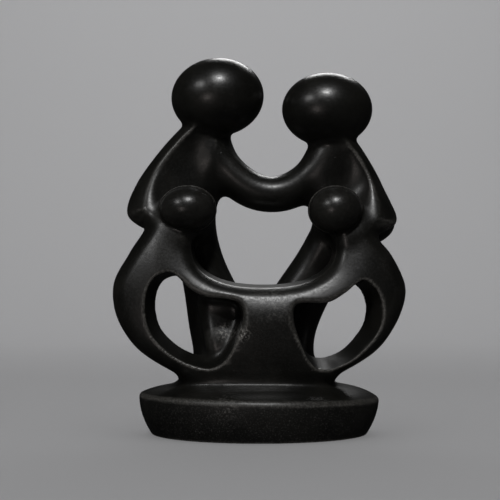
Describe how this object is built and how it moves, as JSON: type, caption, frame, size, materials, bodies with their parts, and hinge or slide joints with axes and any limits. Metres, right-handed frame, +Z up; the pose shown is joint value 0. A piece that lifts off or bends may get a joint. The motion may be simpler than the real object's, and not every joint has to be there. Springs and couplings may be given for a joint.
{
  "type": "family sculpture",
  "caption": "Abstract carved stone family: parents with joined arms behind two children, whose looped bodies ring round openings, on an oval base.",
  "frame": {"origin": "underside of the base, below the middle of the bounding box", "axes": "+Z up, -Y towards the viewer in front of the children, +X to the viewer's right"},
  "size_m": [0.1518, 0.0939, 0.1997],
  "materials": {
    "soapstone": "polished, waxed near-black soapstone with lighter worn edges and a fine grain on the base"
  },
  "bodies": {
    "root": {"family_sculpture": "soapstone"}
  },
  "joints": []
}
